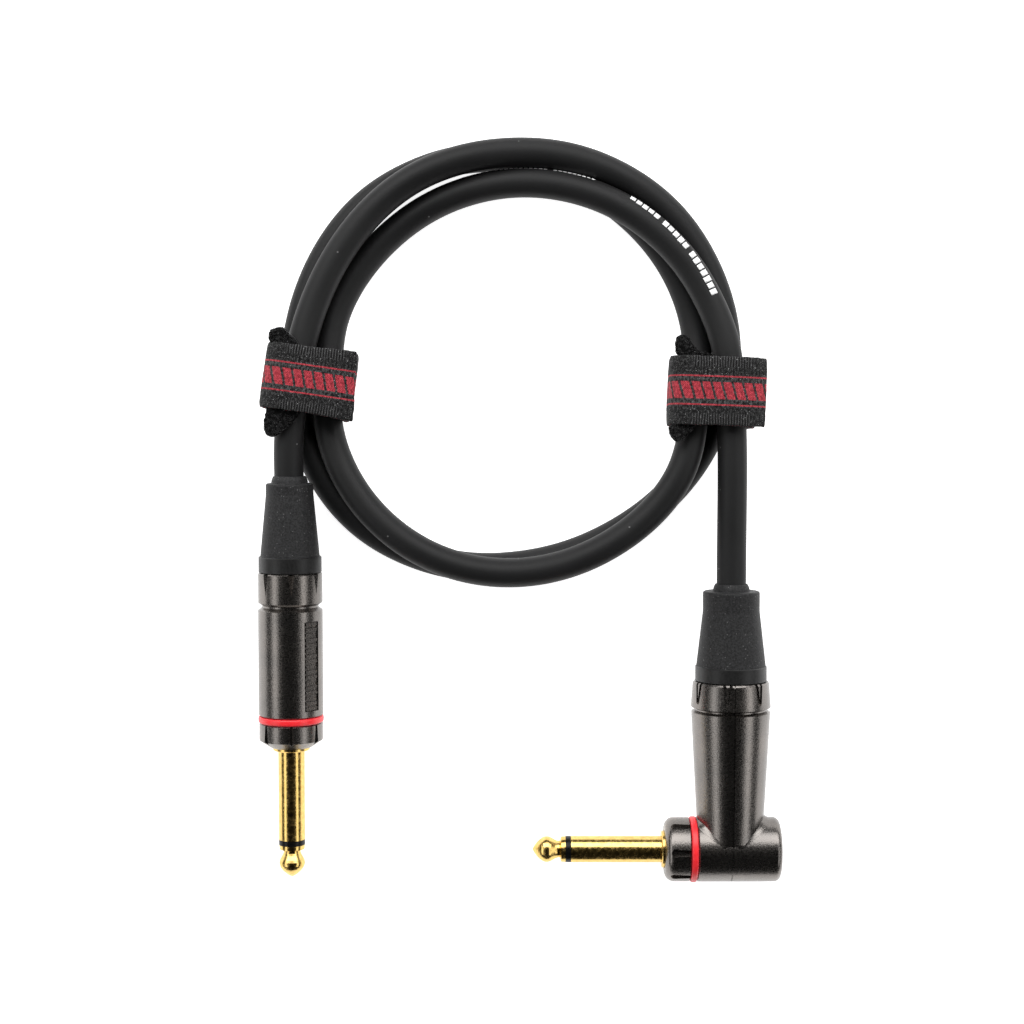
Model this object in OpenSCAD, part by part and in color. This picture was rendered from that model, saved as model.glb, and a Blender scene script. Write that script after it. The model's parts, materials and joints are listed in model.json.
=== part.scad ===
// Instrument cable: a straight jack plug and a right-angle jack plug on one coiled lead, held by two ties.
// Origin: centre of the footprint of plugs and ties, on the table. +Z is up and +Y runs from plugs to coil.

/* [Jack] */
// Diameter of the contact sleeve of both jacks
jack_d = 6.35; // [6.3:0.01:6.4]
// Length of a jack from the end of its tip to the front collar
jack_len = 31.6; // [30.8:0.1:32.4]

/* [Straight plug] */
// Diameter of the straight shell
shell_d = 15.4; // [15.2:0.1:15.6]
// Length of the straight shell, its rear section included
shell_len = 34.3; // [33.8:0.1:36]
// Length of the straight plug's rubber boot
straight_boot_len = 19.1; // [17:0.1:22]

/* [Angled plug] */
// Diameter of the barrel that the angled jack comes out of
barrel_d = 15.3; // [15:0.1:15.5]
// Largest diameter of the angled plug's arm
arm_d = 19; // [18.4:0.1:19]
// Distance from the jack's axis to the rear face of the arm
arm_len = 40.6; // [40:0.1:43]
// Length of the angled plug's rubber boot
angled_boot_len = 19.5; // [17:0.1:22]

/* [Cable] */
// Outer diameter of the jacket
cable_d = 7; // [6:0.1:7]
// Mean radius of the coil
coil_r = 47.2; // [46.8:0.1:47.2]
// Height of the coil
coil_h = 14.4; // [13:0.1:14.4]

/* [Ties] */
// Width of the woven strap
strap_w = 16.4; // [12:0.2:20]
// Thickness of the woven strap
strap_t = 1.5; // [1:0.1:1.6]

/* [Hidden] */
$fn = 64;

// Places. Each plug's own axis rises gently towards its cable, because the tie holds the cable up there.
straight_at = [-54.6, -33.5, 7.5];
straight_slope = 0.06;
angled_at = [50.6, -58, 7.8];
angled_slope = 0.05;
coil_at = [-0.45, 58.5];
left_tie_at = [-49.5, 53.4];
left_tie_turn = -8;
right_tie_at = [46.6, 51.3];
right_tie_turn = -2;

// Routes of the two leads, from where each jacket is stripped to where it joins the coil.
straight_route = [
    [-54.6, -3.5, 9.3], [-54.6, 11.5, 10.2], [-54.6, 26.5, 11.1], [-54.6, 41.5, 12], [-53.9, 48, 12.1],
    [-52.9, 55, 12.1]
];
angled_route = [
    [50.6, -28, 9.3], [50.6, -13, 10.05], [50.6, 2, 10.8], [50.6, 14, 11.4], [50.7, 29, 12], [50.6, 42, 12],
    [50, 54, 12]
];
lead_sides = 10;

// Fits
run_gap = 0.08;
face_gap = 0.1;
bore_gap = 0.05;

// Jack
jack_r = jack_d / 2;
rod_r = 1.2;
nose_len = 3.5;
bulb_r = 3.12;
neck_r = 2;
neck_at = 6.5;
ring_at = 7.95;
ring_end = 9.25;
liner_r = 2.3;
flange_r = 4.4;
flange_depth = 0.5;
shank_r = 4;
shank_end = 11;
rod_end = 13.4;
washer_end = 12.2;
tip_terminal_at = 12.25;
tip_terminal_end = 13.2;
terminal_t = 0.6;
terminal_w = 4;
tip_z = -jack_len;

// Front collar and colour ring, shared by both plugs
collar_r = 7.6;
collar_len = 6.1;
colour_ring_r = 7.8;
colour_ring_len = 1.6;
front_at = collar_len + colour_ring_len;
wall_end = front_at + 1.8;
notch_count = 7;
notch_step = 360 / notch_count;
notch_depth = 1.1;
straight_front_turn = 7;
straight_rear_turn = notch_step / 2 - 17;
angled_front_turn = -5;
angled_rear_turn = -11;

// Straight shell
shell_r = shell_d / 2;
shell_end = front_at + shell_len;
shell_groove_at = shell_end - 8.9;
shell_groove_len = 1.8;
shell_groove_depth = 1;
shell_bore_r = 6.1;

// Neck, chuck and gland nut
neck_bore_r = 4.3;
neck_wall_depth = 3;
neck_len = 5.9;
straight_neck_r = 5.3;
angled_neck_r = 6.2;
chuck_r = neck_bore_r - 0.1;
chuck_bore_r = cable_d / 2 + 0.1;
chuck_tail = 6;
chuck_head_len = 1;
nut_end_wall = 1.3;
boot_bore_r = cable_d / 2 + 0.25;
core_wall = 0.62;
straight_band_r = 7.5;
straight_band_len = 3.8;
angled_band_r = 8.5;
angled_band_len = 3.6;

// Angled body
barrel_r = barrel_d / 2;
barrel_end = 11.8;
collar_front = -15.8;
barrel_start = collar_front + front_at;
barrel_wall = barrel_start + 1.8;
barrel_bore_r = 5.6;
barrel_fillet = 1.5;
arm_r = arm_d / 2;
arm_root_r = 7.6;
arm_root_edge = 2.6;
arm_groove_at = arm_len - 7.3;
arm_groove_len = 1.2;
arm_rear_r = 8.8;
arm_bore_r = 6.9;
seam_gap = 0.04;
seam_line = 0.26;
dowel_r = 0.7;
dowel_len = 2.2;
dowels = [[-4.6, -4.6], [4.6, -4.6], [-6.2, arm_len - 2.4], [6.2, arm_len - 2.4]];

// Strip points of the jacket, along each plug's own axis
straight_strip = 30 * sqrt(1 + straight_slope * straight_slope);
angled_strip = 30 * sqrt(1 + angled_slope * angled_slope);
straight_core_len = 7;
angled_core_len = 8;
core_r = 1.6;
wire_r = 0.6;
tail_r = 0.5;
end_gap = 0.15;

// Ties
loop_w = 22.4;
loop_h = 18.7;
loop_corner = 4;
head_len = 25;
head_w = 9.5;
head_t = 1.3;
head_gap = 0.1;
head_inset = 2.2;

// Points of an arc around [x, y].
function arc(x, y, r, from, to, steps = 8) = [
    for (i = [0:steps])
        let (a = from + (to - from) * i / steps)
            [x + r * cos(a), y + r * sin(a)]
];

// Outline of a rectangle with round corners, centred on the origin.
function round_rect(w, h, r) = concat(
    arc(w / 2 - r, h / 2 - r, r, 0, 90), arc(r - w / 2, h / 2 - r, r, 90, 180),
    arc(r - w / 2, r - h / 2, r, 180, 270), arc(w / 2 - r, r - h / 2, r, 270, 360)
);

function unit(v) = v / norm(v);

// Direction of a route at its point i.
function heading(route, i) = unit(route[min(i + 1, len(route) - 1)] - route[max(i - 1, 0)]);

// Ring of points round a route's point i.
function ring_points(route, i, r, sides) =
    let (ahead = heading(route, i), side = unit(cross(ahead, [0, 0, 1])), top = cross(side, ahead))
        [for (k = [0:sides - 1]) route[i] + r * (cos(360 * k / sides) * side + sin(360 * k / sides) * top)];

// Closed tube swept along a route.
module tube(route, r, sides) {
    rings = len(route);
    points = [for (i = [0:rings - 1]) each ring_points(route, i, r, sides)];
    walls = [
        for (i = [0:rings - 2], k = [0:sides - 1])
            let (a = i * sides + k, b = i * sides + (k + 1) % sides)
                [a, a + sides, b + sides, b]
    ];
    first = [for (k = [0:sides - 1]) k];
    last = [for (k = [sides - 1:-1:0]) (rings - 1) * sides + k];
    polyhedron(points, concat(walls, [first, last]));
}

// Plain rod between two points.
module rod(from, to, r) {
    v = to - from;
    translate(from)
        rotate([0, acos(v[2] / norm(v)), atan2(v[1], v[0])])
            cylinder(h = norm(v), r = r);
}

// Ring between two radii and two heights.
module ring(inner, outer, low, high) {
    rotate_extrude()
        translate([inner, low])
            square([outer - inner, high - low]);
}

// Places its children on the straight plug: own +Z towards the cable, own -Y upwards.
module on_straight() {
    translate(straight_at)
        rotate([atan(straight_slope) - 90, 0, 0])
            children();
}

// Places its children on the angled plug: own +Z along the arm towards the cable, own -X along the jack.
module on_angled() {
    translate(angled_at)
        rotate([atan(angled_slope) - 90, 0, 0])
            children();
}

// Places its children on the angled plug's jack, as on the straight one.
module on_angled_jack() {
    on_angled()
        translate([collar_front, 0, 0])
            rotate([0, 90, 0])
                children();
}

module on_tie(at, turn) {
    translate([at[0], at[1], 0])
        rotate([0, 0, turn])
            children();
}

// Repeats a cutter round the axis, the first one facing up.
module around(count, offset = 0) {
    for (i = [0:count - 1])
        rotate([0, 0, 270 + offset + i * 360 / count])
            children();
}

// V notch that starts at a face at height 0, narrows and runs out up the wall.
module v_notch(wall_r, depth, width, length) {
    flare = 1.3;
    translate([wall_r, 0, 0])
        rotate([0, atan(depth / length), 0])
            translate([0, 0, -length * 0.5])
                linear_extrude(height = length * 1.7)
                    polygon([[-depth, 0], [depth * flare, -width * 1.15], [depth * flare, width * 1.15]]);
}

// Slot with a round front end, cut inwards through a wall from one height to another, where it is narrower.
module round_slot(wall_r, depth, width, from, to) {
    front = arc(-from - width / 2, 0, width / 2, 90, -90);
    translate([wall_r - depth, 0, 0])
        rotate([0, 90, 0])
            linear_extrude(height = depth * 3)
                polygon(concat(front, [[-to, -width * 0.3], [-to, width * 0.3]]));
}

// Tapered slot with a round end and a rib in it, cut from a face at height 0 along a wall that leans outwards.
module ribbed_slot(wall_r, depth, lean, width, length) {
    end_r = width * 0.24;
    rib_w = width * 0.4;
    translate([wall_r - depth, 0, 0])
        rotate([0, 90 + lean, 0])
            linear_extrude(height = depth * 4)
                difference() {
                    polygon(concat([[1, width / 2], [1, -width / 2]], arc(end_r - length, 0, end_r, 270, 90)));
                    polygon([[1, rib_w / 2], [1, -rib_w / 2], [2.2 * end_r - length, 0]]);
                }
}

// ---- jack ----

module jack_tip() {
    back_len = neck_at - nose_len;
    nose = [for (i = [0:8]) [bulb_r * pow(sin(90 * i / 8), 0.8), tip_z + nose_len * i / 8]];
    back = [
        for (i = [1:6])
            [neck_r + (bulb_r - neck_r) * (1 + cos(180 * i / 6)) / 2, tip_z + nose_len + back_len * i / 6]
    ];
    shoulder = [
        [jack_r - 0.15, tip_z + neck_at + 0.4], [jack_r - 0.05, tip_z + ring_at],
        [rod_r, tip_z + ring_at], [rod_r, rod_end], [0, rod_end]
    ];
    rotate_extrude()
        polygon(concat(nose, back, shoulder));
}

module jack_insulator() {
    color("black") {
        ring(rod_r + bore_gap, jack_r - 0.03, tip_z + ring_at, tip_z + ring_end);
        ring(rod_r + bore_gap, liner_r, tip_z + ring_end - 0.1, shank_end - 0.1);
    }
}

module jack_sleeve() {
    rotate_extrude()
        polygon([
            [liner_r + bore_gap, tip_z + ring_end], [jack_r, tip_z + ring_end], [jack_r, -0.7],
            [flange_r - 0.2, -0.7], [flange_r, -0.5], [flange_r, flange_depth],
            [shank_r, flange_depth], [shank_r, shank_end], [liner_r + bore_gap, shank_end]
        ]);
}

// Collar round the jack's root, with the given outer front edge. Its child is cut out all round.
module front_collar(edge, turn) {
    difference() {
        rotate_extrude()
            polygon(concat(
                [[shank_r + bore_gap, flange_depth + 0.05], [flange_r + 0.1, flange_depth + 0.05]], edge,
                [[collar_r, collar_len - 0.3], [collar_r - 0.3, collar_len], [shank_r + bore_gap, collar_len]]
            ));
        around(notch_count, turn)
            children();
    }
}

module colour_ring() {
    edge = 0.5;
    rotate_extrude()
        polygon(concat(
            [[shank_r + bore_gap, collar_len + colour_ring_len], [shank_r + bore_gap, collar_len]],
            arc(colour_ring_r - edge, collar_len + edge, edge, -90, 0, 4),
            arc(colour_ring_r - edge, collar_len + colour_ring_len - edge, edge, 0, 90, 4)
        ));
}

// ---- gland nut, boot and chuck: base is the height of the housing's rear face ----

module chuck(base) {
    head_at = base + neck_len + face_gap;
    tail_at = base - chuck_tail;
    difference() {
        union() {
            ring(chuck_bore_r, chuck_r, tail_at, head_at + chuck_head_len);
            ring(chuck_bore_r, straight_neck_r - 0.1, head_at, head_at + chuck_head_len);
        }
        for (a = [0, 90])
            rotate([0, 0, a])
                translate([-chuck_r - 1, -0.4, tail_at - 1])
                    cube([2 * chuck_r + 2, 0.8, 9]);
    }
}

// Threaded over the neck: the pitch cylinders stand in for the thread.
module gland_nut(base, neck, band, band_len) {
    cavity_end = base + neck_len + 2 * face_gap + chuck_head_len + 0.1;
    rotate_extrude()
        polygon([
            [neck + run_gap, base + face_gap], [band - 0.15, base + face_gap], [band, base + face_gap + 0.15],
            [band, base + face_gap + band_len - 0.2], [band - 0.2, base + face_gap + band_len],
            [neck + run_gap + core_wall, base + face_gap + band_len],
            [neck + run_gap + core_wall, cavity_end + nut_end_wall], [boot_bore_r, cavity_end + nut_end_wall],
            [boot_bore_r, cavity_end], [neck + run_gap, cavity_end]
        ]);
}

// Rubber boot over the nut's core, with a narrow lip round the cable.
module boot(base, neck, band_len, length, root_r, end_r, straight_part) {
    start = base + face_gap + band_len + 0.02;
    end = start + length;
    shoulder = end - 1.7;
    core_end = base + neck_len + 2 * face_gap + chuck_head_len + 0.1 + nut_end_wall + 0.05;
    core = neck + run_gap + core_wall + bore_gap;
    edge = 0.5;
    rotate_extrude()
        polygon(concat(
            [[core, start], [root_r, start], [end_r, shoulder - straight_part]],
            arc(end_r - edge, shoulder - edge, edge, 0, 90, 4),
            [[4.4, shoulder], [4.25, shoulder + 0.8], [3.95, end - 0.15], [3.8, end], [boot_bore_r, end]],
            [[boot_bore_r, core_end], [core, core_end]]
        ));
}

// ---- straight plug ----

module straight_tip() {
    color("gold") on_straight() jack_tip();
}

module straight_tip_insulator() {
    on_straight() jack_insulator();
}

module straight_sleeve() {
    color("gold") on_straight() jack_sleeve();
}

module straight_collar() {
    color("dimgray") on_straight()
        front_collar([[flange_r + 0.1, 0], [4.9, 0.1], [5.6, 0.5], [collar_r, 1.9]], straight_front_turn)
            v_notch(collar_r, notch_depth, 1.7, 9.9);
}

module straight_colour_ring() {
    color("crimson") on_straight() colour_ring();
}

// Raised bars in the shell's sunk panel, every third one short.
module panel_marks(length, width, floor_r) {
    bars = 17;
    step = length / bars;
    bar_h = 0.4;
    long_w = width - 0.9;
    for (i = [0:bars - 1])
        translate([floor_r, -long_w / 2, (i + 0.2) * step])
            cube([bar_h, i % 3 == 2 ? long_w * 0.55 : long_w, step * 0.6]);
}

module straight_shell() {
    panel_len = 21.3;
    panel_w = 4.3;
    panel_at = front_at + 1.75;
    panel_turn = -42;
    panel_r = shell_r - 0.65;
    color("dimgray") on_straight() {
        difference() {
            rotate_extrude()
                polygon([
                    [shank_r + bore_gap, front_at], [shell_r - 0.35, front_at], [shell_r, front_at + 0.35],
                    [shell_r, shell_groove_at], [shell_r - shell_groove_depth, shell_groove_at + 0.75],
                    [shell_r - shell_groove_depth, shell_groove_at + 1.15],
                    [shell_r - 0.05, shell_groove_at + shell_groove_len], [shell_r - 0.05, shell_end - 0.25],
                    [shell_r - 0.3, shell_end], [straight_neck_r, shell_end],
                    [straight_neck_r, shell_end + neck_len - 0.3],
                    [straight_neck_r - 0.3, shell_end + neck_len],
                    [neck_bore_r, shell_end + neck_len], [neck_bore_r, shell_end - neck_wall_depth],
                    [shell_bore_r, shell_end - neck_wall_depth], [shell_bore_r, wall_end],
                    [shank_r + bore_gap, wall_end]
                ]);
            translate([0, 0, shell_end])
                mirror([0, 0, 1])
                    around(notch_count, straight_rear_turn)
                        v_notch(shell_r, notch_depth, 1.8, 5.2);
            rotate([0, 0, panel_turn])
                translate([panel_r, -panel_w / 2, panel_at])
                    cube([2, panel_w, panel_len]);
        }
        rotate([0, 0, panel_turn])
            translate([0, 0, panel_at])
                panel_marks(panel_len, panel_w, panel_r - 0.05);
    }
}

module straight_liner() {
    color("ivory") on_straight()
        ring(shell_bore_r - 0.24, shell_bore_r - 0.04, wall_end + 0.8, shell_end - neck_wall_depth - 3.2);
}

module straight_ground_terminal() {
    color("khaki") on_straight() {
        ring(shank_r + bore_gap, 5.7, wall_end, wall_end + terminal_t);
        translate([-terminal_w / 2, 4.8, wall_end])
            cube([terminal_w, terminal_t, 17]);
    }
}

module straight_tip_terminal() {
    color("khaki") on_straight() {
        ring(rod_r + bore_gap, 2.6, tip_terminal_at, tip_terminal_end);
        translate([-1, -2.55, tip_terminal_at])
            cube([2, 0.5, 8]);
    }
}

module straight_terminal_washer() {
    color("peru") on_straight()
        ring(rod_r + bore_gap, 4.5, shank_end + 0.05, washer_end);
}

module straight_shield_tail() {
    color("silver") on_straight()
        rod([0, 4.28, 22], [0, 2.7, straight_strip - end_gap], tail_r);
}

module straight_conductor() {
    color("orange") on_straight()
        rod([0, -1.42, 16], [0, -0.4, straight_strip - straight_core_len - end_gap], wire_r);
}

module straight_core_insulation() {
    color("white") on_straight()
        translate([0, 0, straight_strip - straight_core_len])
            cylinder(h = straight_core_len, r = core_r);
}

module straight_chuck() {
    color("slategray") on_straight() chuck(shell_end);
}

module straight_gland_nut() {
    color("black") on_straight() gland_nut(shell_end, straight_neck_r, straight_band_r, straight_band_len);
}

module straight_boot() {
    color("dimgray") on_straight()
        boot(shell_end, straight_neck_r, straight_band_len, straight_boot_len, 7.05, 5.65, 2.7);
}

// ---- angled plug ----

module angled_tip() {
    color("gold") on_angled_jack() jack_tip();
}

module angled_tip_insulator() {
    on_angled_jack() jack_insulator();
}

module angled_sleeve() {
    color("gold") on_angled_jack() jack_sleeve();
}

module angled_collar() {
    edge_r = 2.2;
    color("dimgray") on_angled_jack()
        front_collar(
            concat([[flange_r + 0.1, 0]], arc(collar_r - edge_r, edge_r, edge_r, -90, 0)), angled_front_turn
        )
            round_slot(collar_r, notch_depth, 1.9, 1.25, collar_len + 1);
}

module angled_colour_ring() {
    color("crimson") on_angled_jack() colour_ring();
}

// Outside of the angled body: a tapered arm on a barrel, drawn smaller all round by inset.
module angled_form(inset) {
    rotate([0, 90, 0])
        rotate_extrude()
            polygon(concat(
                [[0, barrel_end - inset], [0, barrel_start + inset]],
                [[barrel_r - 0.3 - inset, barrel_start + inset]],
                [[barrel_r - inset, barrel_start + 0.3 + inset]],
                arc(barrel_r - barrel_fillet - inset, barrel_end - barrel_fillet - inset, barrel_fillet, 0, 90)
            ));
    rotate_extrude()
        polygon([
            [0, 0], [arm_root_r - arm_root_edge - inset, 0], [arm_root_r + 0.14 - inset, arm_root_edge],
            [arm_r - 0.1 - inset, arm_groove_at],
            [arm_r - 1 - inset, arm_groove_at + 0.45], [arm_r - 1 - inset, arm_groove_at + 0.75],
            [arm_r - inset, arm_groove_at + arm_groove_len], [arm_rear_r + 0.3 - inset, arm_len - 0.4 - inset],
            [arm_rear_r - inset, arm_len - inset], [0, arm_len - inset]
        ]);
}

module angled_body() {
    difference() {
        union() {
            angled_form(0);
            rotate_extrude()
                polygon([
                    [0, arm_len - 1], [angled_neck_r, arm_len - 1], [angled_neck_r, arm_len + neck_len - 0.3],
                    [angled_neck_r - 0.3, arm_len + neck_len], [0, arm_len + neck_len]
                ]);
        }
        rotate([0, 90, 0]) {
            translate([0, 0, barrel_wall])
                cylinder(h = barrel_end - 2 - barrel_wall, r = barrel_bore_r);
            translate([0, 0, barrel_start - 1])
                cylinder(h = 4, r = shank_r + bore_gap);
        }
        translate([0, 0, 3])
            cylinder(h = arm_len - neck_wall_depth - 3 - 1.6, r = arm_bore_r);
        cylinder(h = arm_len + neck_len + 1, r = neck_bore_r);
        translate([0, 0, arm_len])
            mirror([0, 0, 1])
                around(notch_count, angled_rear_turn)
                    ribbed_slot(arm_rear_r, 0.55, atan((arm_r - arm_rear_r) / 6), 2.6, 5.1);
        difference() {
            translate([-seam_line / 2, -20, -20])
                cube([seam_line, 40, 100]);
            angled_form(0.3);
            cylinder(h = arm_len + neck_len, r = angled_neck_r + 0.1);
        }
    }
}

// Front half, towards the jack, with the dowel holes.
module angled_front_half() {
    color("dimgray") on_angled()
        difference() {
            angled_body();
            translate([-seam_gap / 2, -20, -20])
                cube([40, 40, 100]);
            for (d = dowels)
                translate([-dowel_len - 0.2, d[0], d[1]])
                    rotate([0, 90, 0])
                        cylinder(h = 4, r = dowel_r + bore_gap);
        }
}

// Rear half, with the dowels. The gland nut holds both halves together.
module angled_rear_half() {
    color("dimgray") on_angled() {
        difference() {
            angled_body();
            translate([seam_gap / 2 - 40, -20, -20])
                cube([40, 40, 100]);
        }
        for (d = dowels)
            translate([-dowel_len, d[0], d[1]])
                rotate([0, 90, 0])
                    cylinder(h = dowel_len + 0.5, r = dowel_r);
    }
}

module angled_ground_terminal() {
    color("khaki") on_angled() {
        translate([collar_front, 0, 0])
            rotate([0, 90, 0])
                ring(shank_r + bore_gap, 5.5, wall_end, wall_end + terminal_t);
        translate([collar_front + wall_end, -terminal_w / 2, 4.6])
            cube([terminal_t, terminal_w, 16]);
    }
}

module angled_tip_terminal() {
    color("khaki") on_angled() {
        translate([collar_front, 0, 0])
            rotate([0, 90, 0])
                ring(rod_r + bore_gap, 2.4, tip_terminal_at, tip_terminal_end);
        translate([collar_front + tip_terminal_at, -1, 1.6])
            cube([0.5, 2, 15]);
    }
}

module angled_terminal_washer() {
    color("peru") on_angled_jack()
        ring(rod_r + bore_gap, 4.5, shank_end + 0.05, washer_end);
}

module angled_shield_tail() {
    color("silver") on_angled()
        rod([collar_front + wall_end + 1.15, 0, 18], [-2.7, 0, angled_strip - end_gap], tail_r);
}

module angled_conductor() {
    color("orange") on_angled()
        rod([collar_front + rod_end, 0, 13], [-0.5, 0, angled_strip - angled_core_len - 0.25], wire_r);
}

module angled_core_insulation() {
    color("white") on_angled()
        translate([0, 0, angled_strip - angled_core_len])
            cylinder(h = angled_core_len, r = core_r);
}

module angled_chuck() {
    color("slategray") on_angled() chuck(arm_len);
}

module angled_gland_nut() {
    color("black") on_angled() gland_nut(arm_len, angled_neck_r, angled_band_r, angled_band_len);
}

module angled_boot() {
    color("dimgray") on_angled()
        boot(arm_len, angled_neck_r, angled_band_len, angled_boot_len, 8.25, 6.75, 4.8);
}

// ---- cable ----

module straight_lead() {
    color("dimgray") tube(straight_route, cable_d / 2, lead_sides);
}

module angled_lead() {
    color("dimgray") tube(angled_route, cable_d / 2, lead_sides);
}

// Outer shape of the coiled turns, pressed in where the ties go round it.
module cable_coil() {
    coil_w = 14.6;
    color("dimgray")
        difference() {
            translate([coil_at[0], coil_at[1], coil_h / 2])
                rotate_extrude($fn = 96)
                    translate([coil_r, 0])
                        polygon(round_rect(coil_w, coil_h, 3.5));
            on_tie(left_tie_at, left_tie_turn) tie_pocket();
            on_tie(right_tie_at, right_tie_turn) tie_pocket();
        }
}

// ---- ties ----

// A tie's strap grown by the gap, which the coil is cut by.
module tie_pocket() {
    width = strap_w + 2 * face_gap;
    inset = 2 * (strap_t + face_gap);
    translate([0, width / 2, loop_h / 2])
        rotate([90, 0, 0])
            linear_extrude(height = width)
                difference() {
                    square([loop_w + 2, loop_h + 2], center = true);
                    polygon(round_rect(loop_w - inset, loop_h - inset, loop_corner - strap_t - face_gap));
                }
}

// Woven strap, closed round the coiled turns.
module tie_band() {
    color("darkslategray")
        translate([0, strap_w / 2, loop_h / 2])
            rotate([90, 0, 0])
                linear_extrude(height = strap_w)
                    difference() {
                        polygon(round_rect(loop_w, loop_h, loop_corner));
                        polygon(round_rect(loop_w - 2 * strap_t, loop_h - 2 * strap_t, loop_corner - strap_t));
                    }
}

// Napped head of the tie, under the strap's top run, wider than the strap.
module tie_head() {
    top = loop_h - strap_t - head_gap;
    color("black")
        translate([-loop_w / 2 + strap_t + head_inset + head_w / 2, -0.5, top - head_t])
            linear_extrude(height = head_t)
                polygon(round_rect(head_w, head_len, 4));
}

module left_tie_band() {
    on_tie(left_tie_at, left_tie_turn) tie_band();
}

module left_tie_head() {
    on_tie(left_tie_at, left_tie_turn) tie_head();
}

module right_tie_band() {
    on_tie(right_tie_at, right_tie_turn) tie_band();
}

module right_tie_head() {
    on_tie(right_tie_at, right_tie_turn) tie_head();
}

straight_tip();
straight_tip_insulator();
straight_sleeve();
straight_collar();
straight_colour_ring();
straight_shell();
straight_liner();
straight_ground_terminal();
straight_tip_terminal();
straight_terminal_washer();
straight_shield_tail();
straight_conductor();
straight_core_insulation();
straight_chuck();
straight_gland_nut();
straight_boot();
angled_tip();
angled_tip_insulator();
angled_sleeve();
angled_collar();
angled_colour_ring();
angled_front_half();
angled_rear_half();
angled_ground_terminal();
angled_tip_terminal();
angled_terminal_washer();
angled_shield_tail();
angled_conductor();
angled_core_insulation();
angled_chuck();
angled_gland_nut();
angled_boot();
straight_lead();
angled_lead();
cable_coil();
left_tie_band();
left_tie_head();
right_tie_band();
right_tie_head();
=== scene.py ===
"""Instrument cable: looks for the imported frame. Everything is in metres, in the row frame."""
import json
import math
import random

import bmesh
import bpy
import numpy as np
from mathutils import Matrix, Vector
from mathutils import noise as perlin


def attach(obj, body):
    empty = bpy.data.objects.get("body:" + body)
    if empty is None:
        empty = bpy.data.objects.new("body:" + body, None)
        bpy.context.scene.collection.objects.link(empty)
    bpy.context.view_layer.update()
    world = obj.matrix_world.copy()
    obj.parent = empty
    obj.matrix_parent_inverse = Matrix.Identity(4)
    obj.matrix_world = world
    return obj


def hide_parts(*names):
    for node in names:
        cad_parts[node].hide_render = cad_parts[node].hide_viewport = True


MM = 0.001
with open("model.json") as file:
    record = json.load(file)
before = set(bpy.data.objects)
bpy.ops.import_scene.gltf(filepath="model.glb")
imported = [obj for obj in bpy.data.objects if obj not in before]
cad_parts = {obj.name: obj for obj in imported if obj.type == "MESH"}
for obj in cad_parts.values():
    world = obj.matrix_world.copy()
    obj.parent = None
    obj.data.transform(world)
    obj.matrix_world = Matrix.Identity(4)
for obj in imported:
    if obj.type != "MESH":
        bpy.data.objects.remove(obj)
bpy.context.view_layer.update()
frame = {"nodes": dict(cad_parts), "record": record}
nodes = frame["nodes"]


# ---------------------------------------------------------------- camera

# The view is straight down on the middle of the picture, which lies a little above the frame's origin.
VIEW_CENTRE = Vector((-1.65, 22.85, 0)) * MM
VIEW_HEIGHT = 450 * MM
LENS = 64.8
SENSOR_WIDTH = 36
NEAR_CLIP = 0.01


def make_camera():
    data = bpy.data.cameras.new("camera")
    data.lens = LENS
    data.sensor_width = SENSOR_WIDTH
    data.clip_start = NEAR_CLIP
    camera = bpy.data.objects.new("camera", data)
    camera.location = VIEW_CENTRE + Vector((0, 0, VIEW_HEIGHT))
    bpy.context.scene.collection.objects.link(camera)
    bpy.context.scene.camera = camera


make_camera()


# ---------------------------------------------------------------- mesh helpers


def link(obj):
    bpy.context.scene.collection.objects.link(obj)
    return obj


def mesh_object(name, verts, faces, smooth=True):
    mesh = bpy.data.meshes.new(name)
    mesh.from_pydata([tuple(v) for v in verts], [], faces)
    mesh.polygons.foreach_set("use_smooth", [smooth] * len(mesh.polygons))
    mesh.update()
    return link(bpy.data.objects.new(name, mesh))


def tube_faces(rows, columns):
    """Quads between rings of points, each ring's last point joined to its first."""
    faces = []
    for i in range(rows - 1):
        for k in range(columns):
            a, b = i * columns + k, i * columns + (k + 1) % columns
            faces.append((a, b, b + columns, a + columns))
    return faces


def lofted(name, solids):
    """One object of closed solids, each given as rings of points and capped at both ends."""
    verts, faces = [], []
    for rings in solids:
        start, rows, columns = len(verts), len(rings), len(rings[0])
        shell = tube_faces(rows, columns)
        shell.append(tuple(range(columns)))
        shell.append(tuple((rows - 1) * columns + k for k in range(columns)))
        faces += [tuple(start + v for v in face) for face in shell]
        verts += [point for ring in rings for point in ring]
    obj = mesh_object(name, verts, faces)
    work = bmesh.new()
    work.from_mesh(obj.data)
    bmesh.ops.recalc_face_normals(work, faces=work.faces)
    work.to_mesh(obj.data)
    work.free()
    return obj


def dress(obj, material, slot, *replaced):
    """Gives a new piece its material and body, and hides the CAD nodes that it stands for; slot is not used."""
    obj.data.materials.append(material)
    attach(obj, "cable")
    if replaced:
        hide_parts(*replaced)
    return obj


# ---------------------------------------------------------------- node helpers


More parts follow.
